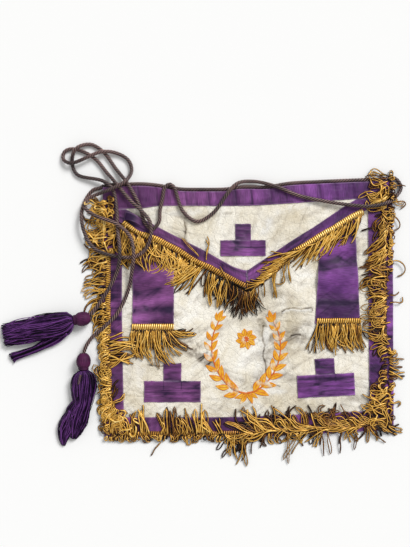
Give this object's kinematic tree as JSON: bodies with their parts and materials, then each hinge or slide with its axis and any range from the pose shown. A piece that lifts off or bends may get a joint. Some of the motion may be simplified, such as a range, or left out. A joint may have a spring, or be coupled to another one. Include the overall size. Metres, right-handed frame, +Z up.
{
  "type": "ceremonial apron",
  "caption": "Flat ceremonial apron of pale leather with a triangular flap, purple ribbon borders, tabs and T-shaped ornaments, gold looped fringe, and a twisted waist cord ending in tassels.",
  "frame": {"origin": "on the surface it lies on, under the middle of the apron with its fringes, free cord ends and tassels left out", "axes": "+X along the waist edge towards the right of the apron as it faces up, +Y towards the waist edge, +Z up out of the face"},
  "size_m": [0.5618, 0.4433, 0.0201],
  "materials": {
    "leather": "worn, matt, creased",
    "ribbon": "plain-woven, slight sheen",
    "fringe": "metallic-gold looped thread",
    "cord": "twisted plies, slight sheen",
    "tassel": "matt thread"
  },
  "bodies": {
    "root": {"apron_panel": "leather", "flap_panel": "leather", "top_band": "ribbon", "border_left": "ribbon", "border_right": "ribbon", "border_bottom": "ribbon", "flap_ribbon_left": "ribbon", "flap_ribbon_right": "ribbon", "flap_ornament_upright": "ribbon", "flap_ornament_bar": "ribbon", "left_ornament_upright": "ribbon", "left_ornament_bar": "ribbon", "right_ornament_upright": "ribbon", "right_ornament_bar": "ribbon", "tab_left": "ribbon", "tab_right": "ribbon", "cord_edge": "cord", "cord_right": "cord", "cord_left": "cord", "fringe_left": "fringe", "fringe_right": "fringe", "fringe_bottom": "fringe", "flap_fringe_left": "fringe", "flap_fringe_right": "fringe", "tab_fringe_left": "fringe", "tab_fringe_right": "fringe", "upper_tassel_head": "tassel", "upper_tassel_skirt": "tassel", "lower_tassel_head": "tassel", "lower_tassel_skirt": "tassel"}
  },
  "joints": []
}
